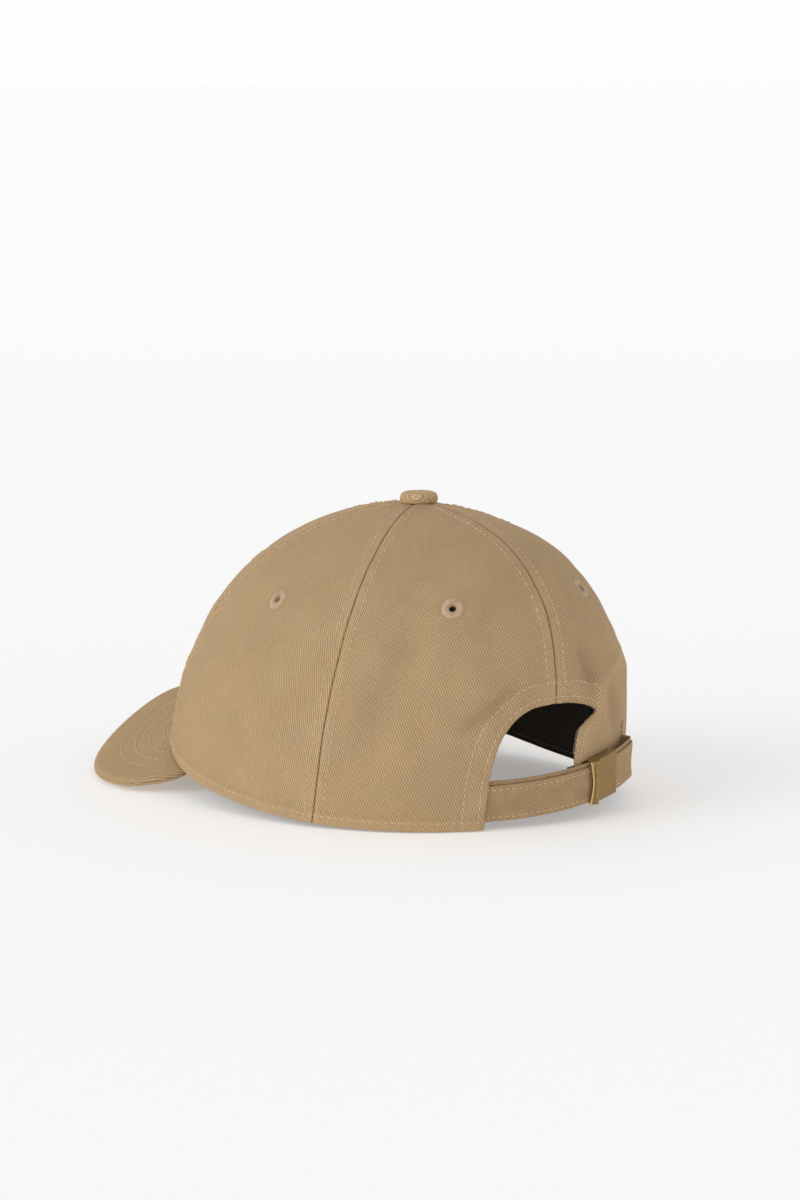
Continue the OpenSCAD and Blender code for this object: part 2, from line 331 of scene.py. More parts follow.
# ---- materials ----
class Nodes:
    """A short way to write a node tree: values or sockets go in, a socket comes out."""

    def __init__(self, owner):
        """owner is a new material or world."""
        owner.use_nodes = True
        self.owner, self.tree = owner, owner.node_tree
        self.shader = next(n for n in self.tree.nodes if n.type in ("BSDF_PRINCIPLED", "BACKGROUND"))

    def node(self, kind, inputs=None, **props):
        n = self.tree.nodes.new("ShaderNode" + kind)
        for k, v in props.items():
            setattr(n, k, v)
        for k, v in (inputs or {}).items():
            self.feed(n.inputs[k], v)
        return n

    def feed(self, socket, v):
        if isinstance(v, bpy.types.NodeSocket):
            self.tree.links.new(v, socket)
        else:
            socket.default_value = v

    def fill(self, inputs):
        """Fills inputs of the shader and returns the material or world."""
        for k, v in inputs.items():
            self.feed(self.shader.inputs[k], v)
        return self.owner

    def math(self, op, *values):
        return self.node("Math", dict(enumerate(values)), operation=op).outputs[0]

    def add(self, a, b):
        return self.math("ADD", a, b)

    def mul(self, a, b):
        return self.math("MULTIPLY", a, b)

    def fma(self, a, b, c):
        """a * b + c"""
        return self.math("MULTIPLY_ADD", a, b, c)

    def clamp(self, a):
        return self.node("Clamp", {0: a}).outputs[0]

    def inside(self):
        """Place on the object, in metres."""
        return self.node("TexCoord").outputs["Object"]

    def noise(self, scale, detail=2.0, rough=0.5, vector=None):
        ins = {"Scale": scale, "Detail": detail, "Roughness": rough}
        if vector is not None:
            ins["Vector"] = vector
        return self.node("TexNoise", ins).outputs["Fac"]

    def ramp(self, fac, stops):
        n = self.node("ValToRGB", {"Fac": fac})
        for element, (pos, colour) in zip(n.color_ramp.elements, stops):
            element.position = pos
            element.color = (*colour, 1)
        return n.outputs["Color"]

    def mix(self, fac, a, b, blend="MIX"):
        n = self.node("Mix", data_type="RGBA", blend_type=blend)
        self.feed(n.inputs[0], fac)
        self.feed(n.inputs[6], (*a, 1) if isinstance(a, tuple) else a)
        self.feed(n.inputs[7], (*b, 1) if isinstance(b, tuple) else b)
        return n.outputs[2]

    def bump(self, height, dist):
        return self.node("Bump", {"Height": height, "Distance": dist, "Strength": 1.0}).outputs["Normal"]

    def shaded(self, colour, value):
        grey = self.node("CombineColor", {0: value, 1: value, 2: value}).outputs[0]
        return self.mix(1.0, colour, grey, "MULTIPLY")


def tinted(colour, by):
    return tuple(c * k for c, k in zip(colour, by))


def twill(name, base, pitch=0.95, angle=118, depth=0.00016, contrast=0.50, sheen=0.35):
    """Cotton twill: diagonal ribs broken into yarns, heathered, sheen, and darker or lighter by the mesh's
    tone, which holds wear and dirt and painted shade and light.
    """
    heather, tone_gain = 0.16, 0.5
    g = Nodes(bpy.data.materials.new(name))
    uv = g.node("UVMap", uv_map="UVMap").outputs["UV"]
    x, y = g.node("SeparateXYZ", {0: uv}).outputs[:2]
    ca, sa = math.cos(angle * DEG), math.sin(angle * DEG)
    wobble = g.mul(g.add(g.noise(0.16, 2.0, 0.5, uv), -0.5), 1.1)
    across = g.add(g.add(g.mul(x, sa), g.mul(y, ca)), wobble)
    along = g.add(g.mul(y, sa), g.mul(x, -ca))
    w = 2 * math.pi / pitch
    rib = g.fma(g.math("SINE", g.mul(across, w)), 0.5, 0.5)
    step = g.mul(g.math("FLOOR", g.math("DIVIDE", across, pitch)), 2.1)
    yarn = g.fma(g.math("SINE", g.add(g.mul(along, w * 0.9), step)), 0.5, 0.5)
    fuzz = g.noise(3.2, 3.0, 0.7, uv)
    height = g.add(g.mul(g.math("POWER", rib, 0.7), g.fma(yarn, 0.35, 0.65)), g.mul(fuzz, 0.35))
    stretch = g.node("CombineXYZ", {0: g.mul(across, 1.6), 1: g.mul(along, 0.22)}).outputs[0]
    slub = g.noise(1.0, 3.0, 0.6, stretch)
    cloud = g.noise(0.035, 3.0, 0.55, uv)
    tone = g.node("Attribute", attribute_name="tone").outputs["Fac"]
    shade = g.fma(rib, contrast, 1 - contrast * 0.6)
    for what, gain, floor in ((yarn, contrast * 0.35, 1 - contrast * 0.17),
                              (slub, heather * 2, 1 - heather), (cloud, 0.22, 0.89), (tone, tone_gain, 1.0)):
        shade = g.mul(shade, g.fma(what, gain, floor))
    warmth = g.noise(0.05, 2.0, 0.5, uv)
    colour = g.mix(warmth, tinted(base, (1.03, 0.99, 0.93)), tinted(base, (0.97, 1.0, 1.06)))
    return g.fill({
        "Base Color": g.shaded(colour, shade), "Roughness": g.fma(fuzz, 0.15, 0.78),
        "Specular IOR Level": 0.22, "Sheen Weight": sheen, "Sheen Roughness": 0.45,
        "Sheen Tint": (*[min(1, c * 1.9) for c in base], 1), "Normal": g.bump(height, depth)})


def thread(name, base, rough=0.7):
    """Spun thread, mottled along its length."""
    g = Nodes(bpy.data.materials.new(name))
    at = g.inside()
    ply = g.noise(2600, 2.0, 0.6, at)
    shade = g.mul(g.fma(g.noise(240, 2.0, 0.5, at), 0.5, 0.74), g.fma(ply, 0.3, 0.85))
    return g.fill({"Base Color": g.shaded(base, shade), "Roughness": rough, "Sheen Weight": 0.3,
                   "Normal": g.bump(ply, 0.00006)})


def brass(name, worn=(0.70, 0.56, 0.27), tint=1.0):
    """Antique brass: brushed, spotted with patina, and bright along its edges."""
    g = Nodes(bpy.data.materials.new(name))
    at = g.inside()
    edge = g.mul(g.add(g.node("NewGeometry").outputs["Pointiness"], -0.52), 9.0)
    wear = g.clamp(g.add(edge, g.mul(g.add(g.noise(900, 3.0, 0.6, at), -0.5), 0.5)))
    patina = g.mix(g.noise(160, 4.0, 0.6, at), tinted((0.285, 0.188, 0.075), [tint] * 3),
                   tinted((0.35, 0.24, 0.098), [tint] * 3))
    spots = g.clamp(g.mul(g.add(g.noise(420, 3.0, 0.6, at), -0.58), 6.0))
    patina = g.mix(g.mul(spots, 0.25), patina, (0.12, 0.09, 0.045))
    brushed = g.node("Mapping", {0: at, 3: (300.0, 300.0, 5200.0)}).outputs[0]
    grain = g.noise(1.0, 2.0, 0.6, brushed)
    return g.fill({"Base Color": g.mix(wear, patina, worn), "Metallic": 1.0,
                   "Roughness": g.fma(grain, 0.16, 0.40), "Normal": g.bump(grain, 0.00002)})


def plain(name, base, rough, metallic=0.0):
    """Moulded plastic or pressed metal with a fine grain."""
    g = Nodes(bpy.data.materials.new(name))
    grain = g.noise(500, 3.0, 0.6, g.inside())
    return g.fill({"Base Color": g.shaded(base, g.fma(grain, 0.24, 0.88)), "Metallic": metallic,
                   "Roughness": g.fma(grain, 0.12, rough - 0.06), "Normal": g.bump(grain, 0.00003)})


KHAKI = (0.470, 0.322, 0.176)
M_CROWN = twill("crown_twill", KHAKI)
M_VISOR = twill("visor_twill", KHAKI, angle=48)
M_STRAP = twill("strap_twill", (0.420, 0.282, 0.150), angle=58)
M_BUTTON = twill("button_twill", (0.540, 0.374, 0.207), angle=45)
M_THREAD = thread("topstitch_thread", (0.66, 0.49, 0.30))
M_DARK_THREAD = thread("lining_thread", (0.05, 0.045, 0.04))
M_EYELET = thread("eyelet_thread", (0.58, 0.41, 0.26), 0.6)
M_TAPE = twill("seam_tape", (0.018, 0.013, 0.009), pitch=1.0, angle=45, contrast=0.3, sheen=0.1)
M_BAND = twill("sweatband_twill", (0.020, 0.014, 0.009), pitch=0.9, angle=60, contrast=0.3, sheen=0.1)
M_BINDING = twill("arch_binding", (0.24, 0.205, 0.17), pitch=0.9, angle=90, contrast=0.3)
M_BUCKRAM = twill("buckram_mesh", (0.62, 0.58, 0.49), pitch=1.6, angle=90, depth=0.0003)
M_BRASS = brass("antique_brass")
M_BRASS_EDGE = brass("worn_brass_edge", (0.85, 0.66, 0.36), 2.4)
M_ALU = plain("pressed_aluminium", (0.66, 0.66, 0.65), 0.42, 1.0)
M_BOARD = plain("polyethylene_board", (0.78, 0.78, 0.76), 0.5)
for node in ("button_shell", "button_rivet"):
    frame["nodes"][node].data.materials.clear()
    frame["nodes"][node].data.materials.append(M_ALU)

# ---- the rear arch's outline in x and z ----
ARCH_X, ARCH_HALF, ARCH_H = 2.0, 24.5, 47.8  # middle, half width on its even side, height
# the buckle's side, from the top down: the cloth's folded corner, then its edge to the hem
ARCH_CORNER = np.array([
    (1.6, 47.8), (-6.5, 47.4), (-13.0, 46.4), (-17.6, 45.2), (-20.0, 43.6), (-20.0, 41.9),
    (-17.6, 40.3), (-13.8, 38.8), (-11.0, 37.2), (-10.2, 34.8), (-10.6, 31.0), (-11.5, 26.0),
    (-12.7, 20.0), (-13.8, 13.0), (-14.0, 6.0), (-14.0, 0.0), (-14.0, -8.0)])


def arch_outline():
    z = np.concatenate([[-8.0, 0.0], np.linspace(2, ARCH_H, 60)])
    t = np.clip((z - 12) / (ARCH_H - 12), 0, 1)
    even_side = np.stack([ARCH_X + ARCH_HALF * (1 - t ** 2.5) ** 0.4, z], -1)
    return np.concatenate([even_side[:-1], smooth_path(ARCH_CORNER)])


ARCH = arch_outline()


def arch_distance(x, z):
    """Distance to the arch's outline, negative inside the opening, with the nearest outline point."""
    p = np.stack([np.ravel(x), np.ravel(z)], -1)
    best = np.full(len(p), 1e9)
    near = np.zeros_like(p)
    for a, b in zip(ARCH[:-1], ARCH[1:]):
        ab = b - a
        q = a + np.clip(((p - a) @ ab) / max(ab @ ab, 1e-9), 0, 1)[:, None] * ab
        d = np.linalg.norm(p - q, axis=1)
        closer = d < best
        best[closer], near[closer] = d[closer], q[closer]
    inside = np.zeros(len(p), bool)
    for (x0, z0), (x1, z1) in zip(ARCH, np.roll(ARCH, -1, axis=0)):
        if z0 != z1:
            crossing = (x1 - x0) * (p[:, 1] - z0) / (z1 - z0) + x0
            inside ^= ((z0 > p[:, 1]) != (z1 > p[:, 1])) & (p[:, 0] < crossing)
    return np.where(inside, -best, best).reshape(np.shape(x)), near.reshape(np.shape(x) + (2,))


def arch_normals():
    """Unit vectors pointing out of the arch at its outline's points."""
    d = np.gradient(ARCH, axis=0)
    n = unit(np.stack([-d[:, 1], d[:, 0]], -1))
    return -n if arch_distance(*(ARCH[20] + n[20] * 2)[:, None])[0][0] < 0 else n


# ---- the strap's frame: z along the slide's axis, psi from y towards x ----
SLIDE = next(joint for joint in frame["joints"] if joint["name"] == "strap_slide")
BACK_Z = unit(np.array(SLIDE["axis"], float))
BACK_X = unit(np.array([1.0, 0, 0]) - BACK_Z[0] * BACK_Z)
BACK_Y = np.cross(BACK_Z, BACK_X)
BACK_O = np.array(SLIDE["pos_m"], float) * 1000 - BACK_Z * 10
STRAP_R, STRAP_W = 76.4, 16.5
BACKING = 1.7  # how far the strap's back layer stands out above its face
BUCKLE_AT, SLIT_AT = -15.0, -34.4  # psi of the buckle, and of the slit the strap's end goes into


def back(x, y, z):
    """A point of the strap's own frame: x, y across the arc, z up the strap."""
    return BACK_O + sum(np.multiply.outer(v, axis) for v, axis in ((x, BACK_X), (y, BACK_Y), (z, BACK_Z)))


def polar(psi, r):
    return np.stack([r * np.sin(np.radians(psi)), r * np.cos(np.radians(psi))], -1)


# ---- crown panels ----
# each panel's seams, and the place of its eyelet as ph and u, all in degrees
PANEL_SEAMS = {
    "front_left": (SEAM_FRONT, 180), "front_right": (180, 360 - SEAM_FRONT),
    "side_left": (SEAM_REAR, SEAM_FRONT), "side_right": (360 - SEAM_FRONT, 360 - SEAM_REAR),
    "rear_left": (0, SEAM_REAR), "rear_right": (-SEAM_REAR, 0)}
EYELETS = {
    "front_left": (153, 42), "front_right": (207, 42), "side_left": (93.6, 43), "side_right": (266.4, 43),
    "rear_left": (28.3, 36.5), "rear_right": (-20.0, 35.8)}
EYELETS = {name: np.array(at) * DEG for name, at in EYELETS.items()}
# rows of points this far from the hem and from a seam, close together where the cloth is folded
HEM = [0, 0.25, 0.6, 1.1, 1.8, 2.6, 3.1, 3.5, 3.9, 4.6, 5.2, 6.0, 7.0]
EDGE = [0, 0.25, 0.55, 0.95, 1.5, 2.3, 3.1, 3.6, 4.0, 4.4, 4.9, 5.6, 6.6, 8.0]
SEAM_STITCH, HEM_STITCH = EDGE.index(4.0), HEM.index(3.5)
TOP_U = 88.6  # the panels' tips, under the button
EYE_HOLE = 2.6


def panel_grid(p0, p1, step):
    """Grid over a panel: ph and u, x from its left seam, its width there, and s up from the hem."""
    n, rim = 61, EDGE[-1]
    ph = np.linspace(p0, p1, n)
    us = (np.linspace(0, 1, 900) ** 2) * TOP_U * DEG
    s = run_length(crown(ph[:, None], us[None]), 1)
    length = s[:, -1:]
    rows = np.linspace(0, 1, int(length.max() / step))[None, 1:]
    want = np.concatenate([np.tile(HEM, (n, 1)), HEM[-1] + (length - HEM[-1]) * rows], axis=1)
    u = np.stack([np.interp(want[i], s[i], us) for i in range(n)])
    w = run_length(crown(ph[:, None], u))
    width = w[-1]
    squeeze = np.minimum(1, width / (3 * rim))
    left = np.array(EDGE)[:, None] * squeeze
    columns = np.linspace(0, 1, int((width.max() - 2 * rim) / step))[1:-1, None]
    middle = rim * squeeze + (width - 2 * rim * squeeze) * columns
    x = np.concatenate([left, middle, width - left[::-1]])
    phs = np.tile(ph[:, None], (1, len(width)))

    def along(at, places, values):
        return np.stack([np.interp(at[:, j], places[:, j], values[:, j]) for j in range(len(width))], -1)

    even = along(x, w, phs)
    return {"ph": even, "u": along(even, phs, u), "s": along(even, phs, want),
            "x": x, "width": np.tile(width, (len(x), 1))}


# soft ridges and, below zero, dents of the worn cloth: from, to, half width, height
CREASES = [
    ((-15.0, 94.5, 88.0), (-36.8, 92.7, 64.4), 5.0, 1.5),
    ((-30.0, 96.0, 70.0), (-52.0, 82.0, 52.0), 5.0, 1.6),
    ((-13.0, 102.1, 70.7), (-20.5, 102.6, 54.0), 6.0, -2.4),
    ((-21.5, 102.2, 41.0), (-23.0, 101.8, 56.0), 3.2, 2.0),
    ((-22.5, 101.8, 52.0), (-38.0, 93.6, 60.5), 3.4, 1.6),
    ((-33.0, 96.4, 52.0), (-41.0, 92.4, 33.3), 5.5, -1.8),
    ((42.7, 77.9, 82.0), (64.5, 68.2, 33.0), 8.0, -1.3),
    ((38.5, 86.1, 76.0), (58.0, 76.0, 26.2), 8.0, 0.7),
    ((17.5, 102.2, 55.5), (35.5, 96.5, 40.0), 3.4, -1.5),
    ((31.6, 91.9, 75.8), (20.0, 96.5, 78.5), 6.0, -0.5),
    ((30.0, 97.5, 58.0), (50.0, 84.0, 60.0), 9.0, 0.5)]
CREASE_HEIGHT, CREASE_WIDTH = 1.6, 0.85  # how much stronger and narrower they are all made


def crease(p, a, b, width, height):
    a, b = np.array(a, float), np.array(b, float)
    ab = b - a
    t = np.clip(((p - a) @ ab) / (ab @ ab), 0, 1)
    d = np.linalg.norm(p - (a + t[..., None] * ab), axis=-1)
    return height * bell(d, 0, width) * np.sin(np.clip(t * 0.9 + 0.05, 0, 1) * math.pi) ** 0.5


def dents(p):
    return CREASE_HEIGHT * sum(crease(p, a, b, CREASE_WIDTH * wide, high) for a, b, wide, high in CREASES)


def relief(g, p):
    """Outward offset and tone of the crown's cloth: seams, hem, soft waves and creases; the tone holds wear
    and dirt, and painted shade and light.
    """
    h = np.zeros(g["x"].shape)
    tone = np.zeros_like(h)
    for x in (g["x"], g["width"] - g["x"]):
        allowance = below(x, 4.9, 0.3)
        wrinkle = waves(p, 7.0, 3) * bell(x, 3.5, 3.2)
        h += 0.30 * allowance - 0.16 * bell(x, 4.0, 0.45) + 0.16 * wrinkle - fold(x, 0.55)
        # Darker in the seam's ditch with dirt and painted shade, and darker in the stitch groove at 4 mm
        # with painted shade; lighter on the raised allowance and the ridge beside the seam with wear.
        tone += 0.08 * allowance * (x > 0.8) - 0.5 * bell(x, 0, 0.35) - 0.10 * bell(x, 4.0, 0.5)
        # The wrinkles' tone follows their height: painted light on their crests, painted shade in their
        # hollows.
        tone += 0.10 * bell(x, 1.2, 0.4) + 0.08 * wrinkle
    s = g["s"]
    turned_up = below(s, 5.0, 0.25)
    pull = waves(p, 6.0, 5) * bell(s, 4, 3.5)
    h += 0.35 * turned_up - 0.20 * bell(s, 3.5, 0.45) + 0.18 * pull - fold(s, 0.7)
    # The dark line just above the turned-up hem is painted shade beside its step.
    tone += 0.08 * turned_up - 0.15 * bell(s, 5.3, 0.35) + 0.14 * bell(s, 0, 0.5)
    free = np.clip(s / 40, 0, 1) * np.clip((H - p[..., 2]) / 20, 0, 1)
    h += (0.55 * waves(p, 46.0, 8) + 0.16 * waves(p, 17.0, 9)) * free
    pressed = dents(p)
    # The tone follows the creases: painted shade in their dents, painted light on their ridges.
    return h + pressed, tone + 0.05 * waves(p, 30.0, 12) + 0.06 * pressed


def corner_push(p):
    """The arch's corner on the buckle's side is pulled outwards."""
    return 2.2 * bell(np.hypot(p[..., 0] + 11.5, p[..., 2] - 35.5), 0, 7.0)


def slit_gap(p):
    """Where the slit is that the strap's end goes into."""
    x, y, z = ((p - BACK_O) @ axis for axis in (BACK_X, BACK_Y, BACK_Z))
    psi = np.degrees(np.arctan2(x, y))
    close = np.abs(psi - SLIT_AT) * STRAP_R * DEG < 1.5
    return close & (z > -1) & (z < STRAP_W + 6) & (p[..., 1] > 0)


def corners(cells):
    """The grid points that touch any of the given cells."""
    out = np.zeros((cells.shape[0] + 1, cells.shape[1] + 1), bool)
    for i in (0, 1):
        for j in (0, 1):
            out[i:i + cells.shape[0], j:j + cells.shape[1]] |= cells
    return out


def cut_arch(g, p, n, keep):
    """Opens the arch in a rear panel, its rim moved onto the outline; the rim's offset and tone."""
    d, near = arch_distance(p[..., 0], p[..., 2])
    behind = p[..., 1] > 0
    centre = (d[:-1, :-1] + d[1:, :-1] + d[:-1, 1:] + d[1:, 1:]) / 4
    gone = (centre < 0) & behind[:-1, :-1]
    keep &= ~gone
    rim = corners(gone) & corners(keep) & (np.abs(d) < 3) & behind
    ph, u = on_back(near[rim][:, 0], np.maximum(near[rim][:, 1], 0))
    p[rim], n[rim] = crown(ph, u), crown_normal(ph, u)
    a = g["arch"] = np.where(rim, 0, np.maximum(d, 0))
    ruffle = waves(p, 9.0, 15)
    faced = below(a, 9.7, 0.4)
    h = 0.30 * faced - 0.2 * bell(a, 2.7, 0.6) - 0.2 * bell(a, 8.5, 0.6)
    # A dark line beside the facing's step at 9.9 mm is painted shade, and the ruffles get painted light on
    # their crests and painted shade in their hollows.
    tone = 0.07 * faced - 0.12 * bell(a, 9.9, 0.5) + 0.15 * bell(a, 0, 0.7) + 0.1 * ruffle * faced
    return h + 0.22 * ruffle * bell(a, 6, 5.5) - fold(a, 0.8), tone


PANELS = {}


def crown_panel(name, p0, p1):
    rear = name.startswith("rear")
    g = panel_grid(p0 * DEG, p1 * DEG, 1.05 if rear else 1.3)
    p = crown(g["ph"], g["u"])
    n = crown_normal(g["ph"], g["u"])
    h, tone = relief(g, p)
    r = np.linalg.norm(p - crown(*EYELETS[name]), axis=-1)
    h -= 0.25 * bell(r, 0, 5.2)
    # Painted shade: a dark ring round the foot of the eyelet's embroidery.
    tone -= 0.12 * bell(r, 5.0, 0.8)
    keep = (r[:-1, :-1] + r[1:, 1:]) / 2 > EYE_HOLE
    if rear:
        rim_h, rim_tone = cut_arch(g, p, n, keep)
        h += rim_h
        tone += rim_tone
    if name == "rear_right":
        h += corner_push(p)
        slit = slit_gap(p)
        keep &= ~(slit[:-1, :-1] & slit[1:, 1:])
    g["verts"] = p + n * h[..., None]
    flat = g["verts"].reshape(-1, 3)
    uv = np.stack([g["x"] - g["width"] / 2, g["s"]], -1).reshape(-1, 2)
    used, faces = used_only(grid_faces(*h.shape, keep, flip=True))
    node = name.replace("_", "_panel_")
    obj = new_object("crown_" + node, flat[used], faces, M_CROWN, uv[used], tone.reshape(-1)[used])
    solidify(obj, CLOTH)
    piece(obj, "crown", "crown_twill", node)
    g["tree"] = BVHTree.FromPolygons([Vector(v) for v in flat[used]], faces)
    PANELS[name] = g


for panel, seams in PANEL_SEAMS.items():
    crown_panel(panel, *seams)


def seam_rows():
    """Sewing lines beside every seam and along the hem, left out across the arch."""
    foot_right, foot_left = -14.0, 26.4
    paths = []
    for g in PANELS.values():
        v = g["verts"]
        n = unit(np.cross(np.gradient(v, axis=1), np.gradient(v, axis=0)))
        for k in (SEAM_STITCH, -1 - SEAM_STITCH):
            ok = (g["s"][k] > 1.0) & (g["width"][k] > 13)
            if "arch" in g:
                ok &= (g["arch"][k] > 1.0) & ((g["arch"][k] > 0) | (g["s"][k] > 60))
            if ok.sum() > 3:
                paths.append((v[k][ok], n[k][ok]))
        x = v[:, HEM_STITCH, 0]
        ok = np.ones(len(v), bool)
        if "arch" in g:
            ok = (g["arch"][:, HEM_STITCH] > 2.0) & ((x < foot_right) | (x > foot_left))
        paths.append((v[:, HEM_STITCH][ok], n[:, HEM_STITCH][ok]))
    return paths


def arch_row(a):
    """The sewing line at distance a outside the arch, on the cloth."""
    q = ARCH + arch_normals() * a
    dist = arch_distance(q[:, 0], q[:, 1])[0]
    q = q[(dist > a - 0.25) & (q[:, 1] > 1.0)]
    pts = resample(crown(*on_back(q[:, 0], q[:, 1])), 1.5)
    return project([PANELS["rear_left"]["tree"], PANELS["rear_right"]["tree"]], pts)


stitches("crown_topstitching", seam_rows(), M_THREAD, "crown")
stitches("arch_topstitching", [arch_row(2.7), arch_row(8.5)], M_THREAD, "crown", pitch=2.7)


# ---- visor ----
VISOR_T = 3.8
VISOR_HALF, VISOR_LEN, VISOR_Y, TIP_Z = 97.0, 98.3, -53.6, 19.5
VISOR_ROOT = 68  # degrees of the crown's hem on each side of the front that the visor is sewn to
VISOR_TURN = 107  # degrees its outer edge turns from the tip to a corner
TIP_ROUND, EDGE_POWER = 12.0, 1.43
VISOR_ROWS = (11.0, 17.0, 23.0, 29.0, 35.0, 41.0, 47.0)
FLAT_ROWS, ROLL = 58, 1.7  # rows of points before the rolled edge, and the roll's width


def visor_in(t):
    """The visor's root, just inside the crown's cloth."""
    ph = (180 - VISOR_ROOT * t) * DEG
    c = crown(ph, np.full(np.shape(t), 0.0002), CLOTH + 3)
    c[..., 2] = edge_z(ph) - VISOR_T - 0.25
    return c


def visor_out(t):
    c, s = np.cos(VISOR_TURN * t * DEG), np.sin(VISOR_TURN * t * DEG)
    x = VISOR_HALF * sg(s, 1.4)
    blunt = (x * x + TIP_ROUND ** 2) ** (EDGE_POWER / 2) - np.abs(x) ** EDGE_POWER
    y = VISOR_Y - VISOR_LEN * np.where(c > 0, 1, 0.6) * sg(c, 1.05) + 0.0743 * blunt
    return np.stack([x, y, (TIP_Z - 0.0584 * blunt) * np.maximum(c, 0) ** 4.16], -1)


def visor_edge(t):
    w = (1 - np.abs(t) ** 9) ** 0.5
    root = visor_in(t)
    return root + (visor_out(t) - root) * w[..., None]


def visor_lines(n, reach):
    """n lines from the root out, closer together at the corners: edge points, directions and lengths."""
    t = np.sin(np.linspace(-90, 90, n) * DEG) * reach
    edge = visor_edge(t)
    out = edge - visor_in(t)
    return edge, unit(out), np.linalg.norm(out, axis=1)[:, None]


EDGE_LINE = visor_lines(500, 0.9995)[0]


def edge_distance(p):
    """Plan distance to the visor's outer edge."""
    flat = p[..., :2].reshape(-1, 2)
    best = np.full(len(flat), 1e9)
    for a, b in zip(EDGE_LINE[:-1, :2], EDGE_LINE[1:, :2]):
        ab = b - a
        t = np.clip(((flat - a) @ ab) / max(ab @ ab, 1e-12), 0, 1)
        best = np.minimum(best, np.linalg.norm(flat - (a + t[:, None] * ab), axis=1))
    return best.reshape(p.shape[:-1])


def contour(p, d, value, up):
    """The sewing line at a distance from the visor's edge."""
    pts = []
    for i in range(3, len(p) - 3):
        s = d[i, :FLAT_ROWS] - value
        k = np.where((s[:-1] > 0) & (s[1:] <= 0))[0]
        if len(k):
            f = s[k[0]] / (s[k[0]] - s[k[0] + 1])
            pts.append(p[i, k[0]] * (1 - f) + p[i, k[0] + 1] * f)
    pts = resample(pts, 2.0)
    return pts, np.tile([0.0, 0.0, up], (len(pts), 1))


def visor_side(side, up):
    """One of the visor's covers, rolled round the edge to the middle of its thickness, and its stitches."""
    edge, out, span = visor_lines(261, 0.99995)
    roll = np.minimum(ROLL, span * 0.3)
    arc = np.linspace(0, 90, 7)[None, 1:] * DEG
    q_flat = roll + (span - roll) * (1 - np.linspace(0, 1, FLAT_ROWS)[None])
    q = np.concatenate([q_flat, roll * (1 - np.sin(arc))], 1)
    p = edge[:, None] - out[:, None] * q[..., None]
    d = edge_distance(p)
    d[:, -1] = 0
    p[..., 2] += VISOR_T / 2 * (1 + up * np.sqrt(1 - np.clip(1 - d / 1.9, 0, 1) ** 2))
    h = 0.10 * waves(p, 60, 21) + 0.08 * waves(p, 5.0, 23)
    tone = 0.05 * waves(p, 40, 22) - 0.12 * bell(d, 0, 0.12)
    for row in VISOR_ROWS:
        h -= 0.20 * bell(d, row, 0.8)
        # Painted shade in the sunk stitch rows.
        tone -= 0.03 * bell(d, row, 0.7)
    p[..., 2] += up * h * np.clip((d - 1.9) / 4, 0, 1)
    p[:, -1, 2] += up * 0.03
    unrolled = np.concatenate([q_flat, roll - 1.8 * arc], 1)
    uv = (edge[:, None] - out[:, None] * unrolled[..., None])[..., :2].reshape(-1, 2)
    faces = grid_faces(*p.shape[:2], flip=up > 0)
    obj = new_object(f"visor_{side}_twill", p.reshape(-1, 3), faces, M_VISOR, uv, tone.reshape(-1))
    solidify(obj, 0.35)
    piece(obj, "crown", "visor_twill", f"visor_{side}_cover")
    rows = [contour(p, d, row, up) for row in VISOR_ROWS]
    stitches(f"visor_{side}stitching", rows, M_THREAD, "crown", r=0.26, lift=0.12)


def visor_core():
    """The stiff board between the covers, kept clear of the rolled edge."""
    thick, outer_gap, inner_gap = 1.4, 3.4, 3.0
    edge, out, span = visor_lines(121, 0.94)
    q = outer_gap + (span - outer_gap - inner_gap) * (1 - np.linspace(0, 1, 14))[None]
    p = edge[:, None] - out[:, None] * q[..., None]
    p[..., 2] += VISOR_T / 2 + thick / 2
    obj = new_object("visor_core", p.reshape(-1, 3), grid_faces(*p.shape[:2], flip=True), M_BOARD)
    solidify(obj, thick)
    piece(obj, "crown", "visor_board", "visor_board")


visor_side("top", 1.0)
visor_side("under", -1.0)
visor_core()


# ---- button ----
def button():
    """The covered button: a domed disc, its cloth gathered in pleats under the edge."""
    n, top, bottom = 120, 4.85, 0.12
    profile = smooth_path(np.array([
        (0.02, top), (3.0, 4.83), (5.2, 4.62), (6.6, 4.12), (7.35, 3.2), (7.6, 2.1), (7.5, 1.1),
        (7.05, 0.35), (6.2, 0.05), (4.8, 0.1)]), 5)
    m = len(profile)
    a = np.linspace(0, 2 * math.pi, n, endpoint=False)
    v = np.stack([np.outer(np.cos(a), profile[:, 0]), np.outer(np.sin(a), profile[:, 0]),
                  np.tile(profile[:, 1], (n, 1))], -1)
    low = np.clip((4.0 - v[..., 2]) / 4.0, 0, 1)
    r = np.hypot(v[..., 0], v[..., 1])
    pleat = np.sin(a * 23 + 0.7 * np.sin(a * 5)) * 0.09 + np.sin(a * 9 + 1) * 0.07
    v[..., :2] *= (1 + pleat[:, None] * low / np.maximum(r, 3))[..., None]
    v[..., 2] += 0.06 * waves(v, 6.0, 31)
    # Painted shade: the cloth darkens towards the button's foot, under its edge.
    tone = (-0.25 * np.clip(1 - v[..., 2] / 1.2, 0, 1) + 0.06 * waves(v, 5.0, 32)).reshape(-1)
    flat = np.concatenate([v.reshape(-1, 3), [[0, 0, top]], [[0, 0, bottom]]]) + [0, LEAN, H]
    faces = []
    for i in range(n):
        here, after = i * m, (i + 1) % n * m
        faces += [(here + j + 1, after + j + 1, after + j, here + j) for j in range(m - 1)]
        faces += [(n * m, here, after), (n * m + 1, after + m - 1, here + m - 1)]
    uv = flat[:, :2] + 0.4 * flat[:, 2:]
    obj = new_object("button_twill_cover", flat, faces, M_BUTTON, uv, np.concatenate([tone, [0, 0]]))
    piece(obj, "crown", "button_twill", "button_cover")


button()


